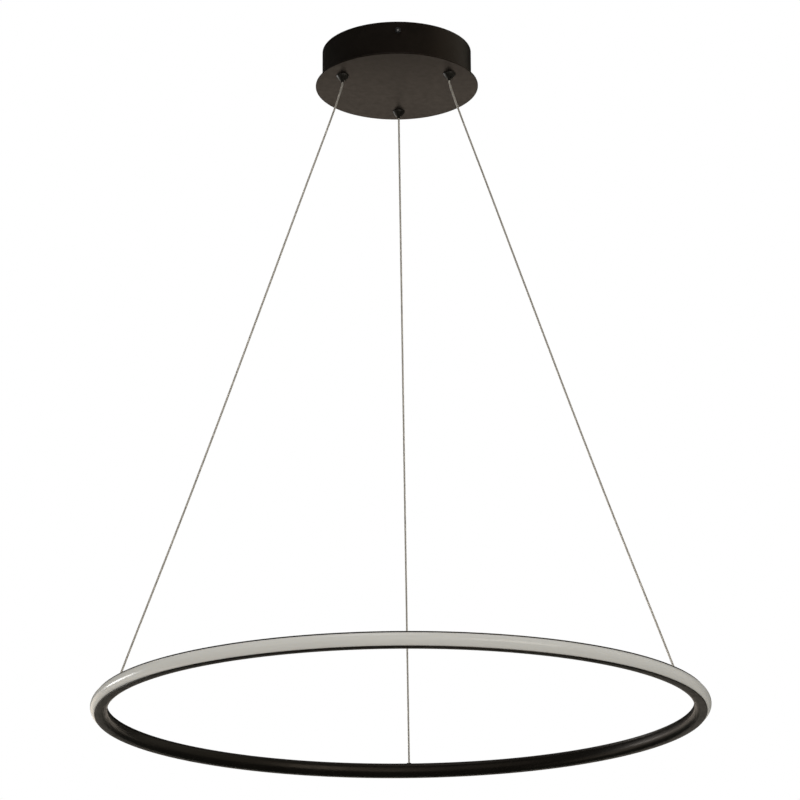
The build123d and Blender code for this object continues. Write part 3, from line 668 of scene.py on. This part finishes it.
wirePlan = {
    "radius": 1.0 * mm,
    "spacing": 0.6 * mm,
    "columns": 20,
    "dullShare": 0.8,
    "stripeTurn": 40.0 * mm,  # the earth wire's stripe goes round once in this length
    "stripeEdge": (0.42, 0.5),
    "stripeTone": (0.62, 0.5, 0.03),
}
wireLook = {
    "toneScale": 160, "roughness": (0.36, 0.5), "roughScale": 300, "grainScale": 5000,
    "grainHeight": 3e-6,
}
wireLines = {
    "mains_wire_live": ("wire_brown", (0.085, 0.032, 0.014), (
        (-8.5, -33, -27.9), (-8.5, -17, -27.9), (-62, -17, -27.9), (-62, 7, -27.9), (-46, 7, -27.9))),
    "mains_wire_neutral": ("wire_blue", (0.012, 0.06, 0.3), (
        (0, -33, -27.9), (0, -13, -27.9), (-58, -13, -27.9), (-58, 2, -27.9), (-46, 2, -27.9))),
    "output_wire_positive": ("wire_red", (0.36, 0.012, 0.01), (
        (46, 24, -27.9), (61, 24, -27.9), (61, 12.1, -27.9))),
    "output_wire_negative": ("wire_black", (0.008, 0.008, 0.008), (
        (44, 26, -27.9), (44, 45, -27.9), (28.1, 45, -27.9))),
    "earth_wire": ("wire_earth", (0.05, 0.24, 0.03), (
        (8.5, -33, -27.9), (8.5, -16, -27.9), (18, -16, -34.5), (29.5, -16, -34.5))),
}


def insulated(name, route, plan):
    line, along = splinePoints(np.array(route) * mm, plan["spacing"])
    angles = np.linspace(0, 2 * math.pi, plan["columns"], endpoint=False)
    stripe = np.sin(angles[None, :] + 2 * math.pi * along[:, None] / plan["stripeTurn"])
    grid = sweptPoints(line, np.full((len(line), plan["columns"]), plan["radius"]))
    return gridPiece(name, grid, caps=True, values={"stripe": stripe})


for name, (slotName, colour, route) in wireLines.items():
    sleeve = newFinish(slotName, colour, 0.42)
    duller = tuple(wirePlan["dullShare"] * channel for channel in colour)
    weather(sleeve, (duller, colour), **wireLook)
    if name == "earth_wire":
        shader = shaderOf(sleeve)
        green = shader.inputs["Base Color"].links[0].from_socket
        band = addNode(sleeve, "ShaderNodeAttribute", attribute_name="stripe").outputs["Fac"]
        yellow = rangeOf(sleeve, band, 0, 1, *wirePlan["stripeEdge"])
        striped = mixOf(sleeve, yellow, green, wirePlan["stripeTone"])
        join(sleeve, striped, shader.inputs["Base Color"])
    wire = insulated(name.title().replace("_", "") + "Sleeve", route, wirePlan)
    replaceWith(wire, sleeve, "canopy", slotName, name)
print("tails and wires laid")


# Heat-shrunk sleeves over both joints: full over the joint and drawn in at the ends
splicePlan = {
    "radius": 2.4 * mm,
    "waist": 1.35 * mm,
    "length": 14.0 * mm,
    "level": -27.9 * mm,
    "ripple": 0.05 * mm,
    "rippleTurn": 34.0,  # radians of ripple along the sleeve
    "drawnShare": 0.16,  # share of the length in which an end draws in
    "steps": 60,
    "columns": 28,
}


def splicePoints(centre, way, plan):
    share = np.linspace(-0.5, 0.5, plan["steps"])
    line = np.array((*centre, plan["level"])) + share[:, None] * plan["length"] * np.array(way)
    fullness = np.clip((0.5 - np.abs(share)) / plan["drawnShare"], 0, 1)
    fullness = fullness**2 * (3 - 2 * fullness)
    radii = plan["waist"] + (plan["radius"] - plan["waist"] - plan["ripple"]) * fullness
    radii = radii + plan["ripple"] * fullness * np.sin(share * plan["rippleTurn"])
    return sweptPoints(line, np.repeat(radii[:, None], plan["columns"], axis=1))


spliceSleeve = newFinish("spliceSleeve", (0.009, 0.009, 0.01), 0.4)
spliceLook = {
    "tones": ((0.007, 0.007, 0.008), (0.014, 0.014, 0.015)), "toneScale": 220,
    "roughness": (0.34, 0.5), "roughScale": 420, "grainScale": 4000, "grainHeight": 6e-6,
}
weather(spliceSleeve, **spliceLook)
spliceLines = (
    ("spliceSleevePositive", (61.0 * mm, 5.0 * mm), (0.0, 1.0, 0.0)),
    ("spliceSleeveNegative", (21.0 * mm, 45.0 * mm), (1.0, 0.0, 0.0)),
)
for name, middle, way in spliceLines:
    splice = gridPiece(name, splicePoints(middle, way, splicePlan), caps=True)
    replaceWith(splice, spliceSleeve, "canopy", "splice_sleeve", "splice_tubes")


# Foam pads under driver and terminal block: a rectangle whose sides swell at half height
padPlan = {
    "foot": -36.2 * mm,
    "thickness": 1.0 * mm,
    "swell": 0.35 * mm,
    "corner": 1.5 * mm,
    "rows": 9,
    "columns": 16,  # points on each rounded corner
}


# Loop of a rounded rectangle: four quarter circles about the inset corners, joined by straight sides.
def roundedLoop(width, length, corner, steps):
    quarter = np.linspace(0, math.pi / 2, steps)
    angles = np.concatenate([quarter + k * math.pi / 2 for k in range(4)])
    sides = np.repeat([(1, 1), (-1, 1), (-1, -1), (1, -1)], steps, axis=0)
    middle = sides * (width / 2 - corner, length / 2 - corner)
    return middle + corner * np.stack([np.cos(angles), np.sin(angles)], axis=-1)


def padPoints(width, length, centre, plan):
    share = np.linspace(0, 1, plan["rows"])
    swell = plan["swell"] * (np.sin(math.pi * share) - 1)
    loop = roundedLoop(width, length, plan["corner"], plan["columns"])
    outward = loop / np.linalg.norm(loop, axis=1, keepdims=True)
    level = loop[None] + swell[:, None, None] * outward[None] + np.array(centre)
    height = plan["foot"] + share * plan["thickness"]
    heights = np.broadcast_to(height[:, None, None], (*level.shape[:2], 1))
    return np.concatenate([level, heights], axis=-1)


padFoam = newFinish("padFoam", (0.42, 0.42, 0.4), 0.85)
padLook = {
    "tones": ((0.34, 0.34, 0.33), (0.5, 0.5, 0.48)), "toneScale": 900,
    "roughness": (0.8, 0.95), "roughScale": 700, "grainScale": 2400, "grainHeight": 2e-4,
}
weather(padFoam, **padLook)
padSizes = (
    ("driverPad", 92.0 * mm, 30.0 * mm, (0.0, 11.0 * mm)),
    ("terminalPad", 23.0 * mm, 13.0 * mm, (0.0, -35.5 * mm)),
)
for name, width, length, centre in padSizes:
    pad = gridPiece(name, padPoints(width, length, centre, padPlan), caps=True)
    replaceWith(pad, padFoam, "canopy", "pad_foam", "mounting_pads")
print("splices and pads in place")


# Nuts and washers: corners of a nut are cut by a 30 degree cone from a circle just inside its flats
nutPlan = {
    "circleShare": 0.96,
    "cone": math.radians(30.0),
    "boreEdge": 0.45,  # share of the way from bore to circle that the bore opens at both faces
    "boreLead": 0.5,  # depth of that opening to its width
    "steps": 120,
}
gripperNut = {"across": 14.0 * mm, "foot": -35.2 * mm, "height": 5.0 * mm, "bore": 5.05 * mm}
earthNut = {"across": 7.0 * mm, "foot": -35.4 * mm, "height": 3.2 * mm, "bore": 2.05 * mm}
studPlace = (36.0 * mm, -16.0 * mm)
washer = {
    "radius": 9.0 * mm,
    "bore": 5.05 * mm,
    "foot": -36.2 * mm,
    "thickness": 1.0 * mm,
    "edge": 0.18 * mm,
    "steps": 96,
}


# Nut: the hexagon's radius at the angle a is flat / cos(a mod 60 - 30), lowered at corners by the cone.
def nutPoints(nut, centre, start, plan):
    angles = np.linspace(0, 2 * math.pi, plan["steps"], endpoint=False)
    flat = nut["across"] / 2
    hexagon = flat / np.cos(angles % (math.pi / 3) - math.pi / 6)
    circle = np.full_like(angles, flat * plan["circleShare"])
    drop = (hexagon - circle) * math.tan(plan["cone"])
    bore = np.full_like(angles, nut["bore"])
    opened = bore + plan["boreEdge"] * (circle - bore)
    lead = plan["boreLead"] * (opened - bore)
    foot, top = nut["foot"], nut["foot"] + nut["height"]
    level = np.zeros_like(angles)
    rows = (
        (bore, foot + lead), (opened, foot + level), (circle, foot + level), (hexagon, foot + drop),
        (hexagon, top - drop), (circle, top + level), (opened, top + level), (bore, top - lead))
    r = np.stack([row[0] for row in rows])
    z = np.stack([row[1] for row in rows])
    x = centre[0] + r * np.cos(angles + start)
    y = centre[1] + r * np.sin(angles + start)
    return np.stack([x, y, z], axis=-1)


def washerOutline(plan):
    top = plan["foot"] + plan["thickness"]
    return roundedOutline([
        (plan["bore"], plan["foot"], plan["edge"]), (plan["radius"], plan["foot"], plan["edge"]),
        (plan["radius"], top, plan["edge"]), (plan["bore"], top, plan["edge"])], steps=4)


zincBright = newFinish("zincBright", (0.6, 0.6, 0.58), 0.32, metallic=0.85)
zincLook = {
    "tones": ((0.5, 0.5, 0.47), (0.66, 0.67, 0.66)), "toneScale": 160,
    "roughness": (0.26, 0.42), "roughScale": 420, "grainScale": 3600, "grainHeight": 6e-6,
}
weather(zincBright, **zincLook)
for number, gripperAngle in enumerate(cablePlan["gripperAngles"], 1):
    centre = onCircle(cablePlan["gripperCircle"], gripperAngle, 0.0)[:2]
    nutGrid = nutPoints(gripperNut, centre, math.radians(gripperAngle), nutPlan)
    nut = gridPiece(f"gripperNut{number}", nutGrid, wrapRows=True, sharp=25)
    replaceWith(nut, zincBright, "canopy", "fastener_zinc", "gripper_nuts")
    washerGrid = turnedPoints(washerOutline(washer), washer["steps"], centre)
    stemWasher = gridPiece(f"gripperWasher{number}", washerGrid, wrapRows=True)
    replaceWith(stemWasher, zincBright, "canopy", "fastener_zinc", "gripper_washers")
earthGrid = nutPoints(earthNut, studPlace, 0.0, nutPlan)
studNut = gridPiece("earthNut", earthGrid, wrapRows=True, sharp=25)
replaceWith(studNut, zincBright, "canopy", "fastener_zinc", "earth_nut")
print("nuts and washers cut")


# Finishes of the CAD nodes that stay
carriedLooks = {
    "nickel_brass": {
        "tones": ((0.55, 0.52, 0.45), (0.68, 0.65, 0.58)), "toneScale": 500,
        "roughness": (0.2, 0.34), "roughScale": 800, "grainScale": 6000, "grainHeight": 1e-6,
    },
    "strip_white": {
        "tones": ((0.7, 0.7, 0.68), (0.78, 0.78, 0.76)), "toneScale": 120,
        "roughness": (0.4, 0.55), "roughScale": 200, "grainScale": 3000, "grainHeight": 3e-6,
    },
    "led_phosphor": {
        "tones": ((0.66, 0.5, 0.08), (0.76, 0.62, 0.16)), "toneScale": 900,
        "roughness": (0.3, 0.45), "roughScale": 900, "grainScale": 5000, "grainHeight": 2e-6,
    },
    "bush_black": {
        "tones": ((0.007, 0.007, 0.007), (0.014, 0.013, 0.012)), "toneScale": 600,
        "roughness": (0.45, 0.62), "roughScale": 900, "grainScale": 4000, "grainHeight": 5e-6,
    },
    "driver_white": {
        "tones": ((0.68, 0.67, 0.63), (0.74, 0.73, 0.7)), "toneScale": 45,
        "roughness": (0.38, 0.52), "roughScale": 120, "grainScale": 1600, "grainHeight": 1.2e-5,
    },
    "board_green": {
        "tones": ((0.012, 0.09, 0.035), (0.02, 0.13, 0.05)), "toneScale": 180,
        "roughness": (0.35, 0.5), "roughScale": 240, "grainScale": 2400, "grainHeight": 4e-6,
    },
    "ferrite_grey": {
        "tones": ((0.05, 0.05, 0.052), (0.085, 0.085, 0.085)), "toneScale": 260,
        "roughness": (0.5, 0.7), "roughScale": 400, "grainScale": 2600, "grainHeight": 1e-5,
    },
    "capacitor_sleeve": {
        "tones": ((0.012, 0.014, 0.03), (0.02, 0.023, 0.045)), "toneScale": 200,
        "roughness": (0.25, 0.4), "roughScale": 300, "grainScale": 3000, "grainHeight": 2e-6,
    },
    "terminal_white": {
        "tones": ((0.7, 0.69, 0.65), (0.78, 0.77, 0.73)), "toneScale": 90,
        "roughness": (0.35, 0.5), "roughScale": 200, "grainScale": 1900, "grainHeight": 8e-6,
    },
    "wire_red": {
        "tones": ((0.28, 0.01, 0.008), (0.36, 0.012, 0.01)), "toneScale": 400,
        "roughness": (0.36, 0.5), "roughScale": 600, "grainScale": 5000, "grainHeight": 2e-6,
    },
    "wire_black": {
        "tones": ((0.006, 0.006, 0.006), (0.011, 0.011, 0.011)), "toneScale": 400,
        "roughness": (0.36, 0.5), "roughScale": 600, "grainScale": 5000, "grainHeight": 2e-6,
    },
}
carriedMetal = {"nickel_brass": 0.9}
for slotName, look in carriedLooks.items():
    metal = carriedMetal.get(slotName, 0.0)
    finish = newFinish(slotName + "Finish", look["tones"][0], look["roughness"][0], metallic=metal)
    weather(finish, **look)
    dress(slotName, finish)
dress("fastener_zinc", zincBright)
dress("gripper_black", gripperBlack)
dress("spring_steel", springSteel)

# Side screws: black zinc, with a painted glint of lighter steel tone in the recess, round lines that
# meet on the drum's axis
screwPlan = {
    "level": -10.0 * mm,
    "turn": math.radians(2.7),
    "glintRadius": 0.8 * mm,
    "glintFade": 1.5 * mm,
    "glintTone": (0.34, 0.33, 0.31),
}
screwLook = {
    "tones": ((0.012, 0.012, 0.012), (0.03, 0.029, 0.028)), "toneScale": 700,
    "roughness": (0.3, 0.45), "roughScale": 900, "grainScale": 5000, "grainHeight": 2e-6,
}
screwBlack = newFinish("screwBlack", (0.02, 0.02, 0.019), 0.36, metallic=0.35)
weather(screwBlack, **screwLook)
acrossWay = (math.cos(screwPlan["turn"]), math.sin(screwPlan["turn"]), 0)
across = addNode(screwBlack, "ShaderNodeVectorMath", {1: acrossWay}, operation="DOT_PRODUCT")
lifted = addNode(screwBlack, "ShaderNodeVectorMath", {1: (0, 0, -screwPlan["level"])}, operation="ADD")
upward = addNode(screwBlack, "ShaderNodeSeparateXYZ")
offLine = addNode(screwBlack, "ShaderNodeCombineXYZ")
distance = addNode(screwBlack, "ShaderNodeVectorMath", operation="LENGTH")
join(screwBlack, placeOf(screwBlack), across.inputs[0])
join(screwBlack, placeOf(screwBlack), lifted.inputs[0])
join(screwBlack, lifted.outputs["Vector"], upward.inputs["Vector"])
join(screwBlack, across.outputs["Value"], offLine.inputs["X"])
join(screwBlack, upward.outputs["Z"], offLine.inputs["Z"])
join(screwBlack, offLine.outputs["Vector"], distance.inputs[0])
# Painted glint: the head turns to a lighter steel tone within this distance of its axis
glintEdge = (screwPlan["glintRadius"], screwPlan["glintFade"])
glintShare = rangeOf(screwBlack, distance.outputs["Value"], 1, 0, *glintEdge)
screwTone = shaderOf(screwBlack).inputs["Base Color"].links[0].from_socket
glintedTone = mixOf(screwBlack, glintShare, screwTone, screwPlan["glintTone"])
join(screwBlack, glintedTone, shaderOf(screwBlack).inputs["Base Color"])
dress("screw_black", screwBlack)

# Galvanised sheet: flat crystals about 6 mm across, each a little lighter or darker than its neighbours
sheetPlan = {
    "crystalScale": 160.0,
    "crystalTone": (0.7, 0.71, 0.72),
    "crystalShare": (0.0, 0.5),
}
sheetLook = {
    "tones": ((0.46, 0.47, 0.48), (0.62, 0.63, 0.63)), "toneScale": 30,
    "roughness": (0.34, 0.5), "roughScale": 140, "grainScale": 1800, "grainHeight": 6e-6,
}
sheetZinc = newFinish("sheetZinc", (0.55, 0.56, 0.57), 0.4, metallic=0.8)
weather(sheetZinc, **sheetLook)
crystals = addNode(sheetZinc, "ShaderNodeTexVoronoi", {
    "Scale": sheetPlan["crystalScale"], "Randomness": 1.0})
join(sheetZinc, placeOf(sheetZinc), crystals.inputs["Vector"])
grey = addNode(sheetZinc, "ShaderNodeSeparateColor")
join(sheetZinc, crystals.outputs["Color"], grey.inputs["Color"])
sheetShader = shaderOf(sheetZinc)
plainZinc = sheetShader.inputs["Base Color"].links[0].from_socket
facet = rangeOf(sheetZinc, grey.outputs["Red"], *sheetPlan["crystalShare"], 0.0, 1.0)
spangled = mixOf(sheetZinc, facet, plainZinc, sheetPlan["crystalTone"])
join(sheetZinc, spangled, sheetShader.inputs["Base Color"])
dress("bracket_zinc", sheetZinc)
print("CAD nodes dressed")


# Stage, light and background
stagePlan = {
    "floorLevel": -5.0,
    "floorSize": 60.0,
    "worldLight": 0.85,
    "lamps": (
        # name, place, width, height, power: placed where the photograph's highlights say they stood
        ("overheadLamp", (-0.4, -0.8, 3.0), 1.4, 1.4, 10.0),
        ("frontLamp", (0.3, -4.2, -0.95), 1.6, 0.9, 9.0),
    ),
    "lampTarget": (0.0, 0.0, -0.6),
}
floorLook = {
    "tones": ((0.85, 0.84, 0.82), (0.87, 0.86, 0.84)), "toneScale": 0.8,
    "roughness": (0.85, 0.95), "roughScale": 2, "grainScale": 40, "grainHeight": 0.0005,
}
# The room that the part mirrors, and upright cards in it: each one's radius, foot and top
roomPlan = {
    "radius": 6.0,
    "rug": -4.9,
    "wallFoot": -1.2,
    "ceiling": 5.6,
    "steps": 48,
    "warm": (1.5, -0.86, -0.5),
    "panel": (1.5, -1.2, -0.86),
    "band": (1.5, -0.6, -0.12),
    "window": (4.07, -0.95, -0.25),
    "above": (1.0, -0.04, 0.2),
    "deep": (1.5, -2.3, -0.95),
    "low": (6.0, -3.9, -2.4),
}


def makeFloor(plan):
    size, level = plan["floorSize"] / 2, plan["floorLevel"]
    corners = [(-size, -size, level), (size, -size, level), (size, size, level), (-size, size, level)]
    mesh = bpy.data.meshes.new("paleFloor")
    mesh.from_pydata(corners, [], [(0, 1, 2, 3)])
    floor = bpy.data.objects.new("paleFloor", mesh)
    bpy.context.scene.collection.objects.link(floor)
    floorFinish = newFinish("paleFloor", (0.86, 0.85, 0.83), 0.9)
    weather(floorFinish, **floorLook)
    mesh.materials.append(floorFinish)


def upright(radius, foot, top):
    return [(radius, foot), (radius, top)]


# Cards are seen only as reflections: they light nothing else and cast no shadow
def makeRoom(plan):
    radius, ceiling, rug, wallFoot = plan["radius"], plan["ceiling"], plan["rug"], plan["wallFoot"]
    wall = upright(radius, wallFoot, ceiling)
    panel, band = upright(*plan["panel"]), upright(*plan["band"])
    # name, outline of (r, z), first and last angle in degrees from +X, glow
    cards = (
        ("greyCeiling", [(radius, ceiling), (0.0, ceiling)], 0, 360, (0.17, 0.16, 0.15)),
        ("rightWall", wall, -30, 45, (0.32, 0.305, 0.26)),
        ("darkWall", wall, 45, 330, (0.017, 0.017, 0.015)),
        ("darkRug", [(0.0, rug), (radius, rug), (radius, wallFoot)], 0, 360, (0.04, 0.04, 0.034)),
        ("warmCard", upright(*plan["warm"]), 68, 140, (1.33, 1.18, 1.01)),
        ("leftPanel", panel, 110, 150, (0.55, 0.52, 0.46)),
        ("rightPanel", panel, 30, 78, (0.25, 0.235, 0.2)),
        ("bandRight", band, -68, -36, (3.4, 3.3, 3.1)),
        ("bandFront", band, -110, -68, (0.8, 0.78, 0.73)),
        ("bandLeft", band, -150, -110, (0.7, 0.68, 0.64)),
        ("window", upright(*plan["window"]), 143, 163, (10.0, 10.0, 10.0)),
        ("farWindow", upright(*plan["above"]), 102, 130, (1.7, 1.62, 1.5)),
        ("leftLow", upright(*plan["deep"]), 142, 172, (1.0, 0.95, 0.86)),
        ("lowFront", upright(*plan["low"]), -125, -55, (1.7, 1.64, 1.52)),
    )
    for name, outline, first, last, glow in cards:
        start, sweep = math.radians(first), math.radians(last - first)
        grid = turnedPoints(np.array(outline), plan["steps"], start=start, sweep=sweep)
        card = gridPiece(name, grid, wrapColumns=last - first == 360)
        cardFinish = newFinish(name, (0, 0, 0), 1.0, **{
            "Specular IOR Level": 0, "Emission Color": (*glow, 1), "Emission Strength": 1.0})
        cardFinish.cycles.emission_sampling = "AUTO" if name == "window" else "NONE"
        card.data.materials.append(cardFinish)
        card.visible_camera = False
        card.visible_diffuse = False
        card.visible_shadow = False


def hangLamps(plan):
    for name, place, width, height, power in plan["lamps"]:
        lamp = bpy.data.lights.new(name, "AREA")
        lamp.shape = "RECTANGLE"
        lamp.size = width
        lamp.size_y = height
        lamp.energy = power
        holder = bpy.data.objects.new(name, lamp)
        bpy.context.scene.collection.objects.link(holder)
        holder.location = place
        aim = Vector(plan["lampTarget"]) - Vector(place)
        holder.rotation_euler = aim.to_track_quat("-Z", "Y").to_euler()


# The camera, glossy and see-through rays meet a white background; other rays meet the plain room light
def makeWorld(plan):
    world = bpy.data.worlds.new("studio")
    bpy.context.scene.world = world
    world.use_nodes = True
    tree = world.node_tree
    room = tree.nodes["Background"]
    room.inputs["Strength"].default_value = plan["worldLight"]
    room.inputs["Color"].default_value = (1, 1, 1, 1)
    white = tree.nodes.new("ShaderNodeBackground")
    white.inputs["Color"].default_value = (1, 1, 1, 1)
    path = tree.nodes.new("ShaderNodeLightPath")
    seen = None
    for label in ("Is Camera Ray", "Is Glossy Ray", "Is Transmission Ray"):
        if seen is None:
            seen = path.outputs[label]
            continue
        largest = tree.nodes.new("ShaderNodeMath")
        largest.operation = "MAXIMUM"
        tree.links.new(seen, largest.inputs[0])
        tree.links.new(path.outputs[label], largest.inputs[1])
        seen = largest.outputs["Value"]
    mix = tree.nodes.new("ShaderNodeMixShader")
    tree.links.new(seen, mix.inputs["Fac"])
    tree.links.new(room.outputs["Background"], mix.inputs[1])
    tree.links.new(white.outputs["Background"], mix.inputs[2])
    tree.links.new(mix.outputs["Shader"], tree.nodes["World Output"].inputs["Surface"])


makeFloor(stagePlan)
makeRoom(roomPlan)
hangLamps(stagePlan)
makeWorld(stagePlan)
print("stage lit")
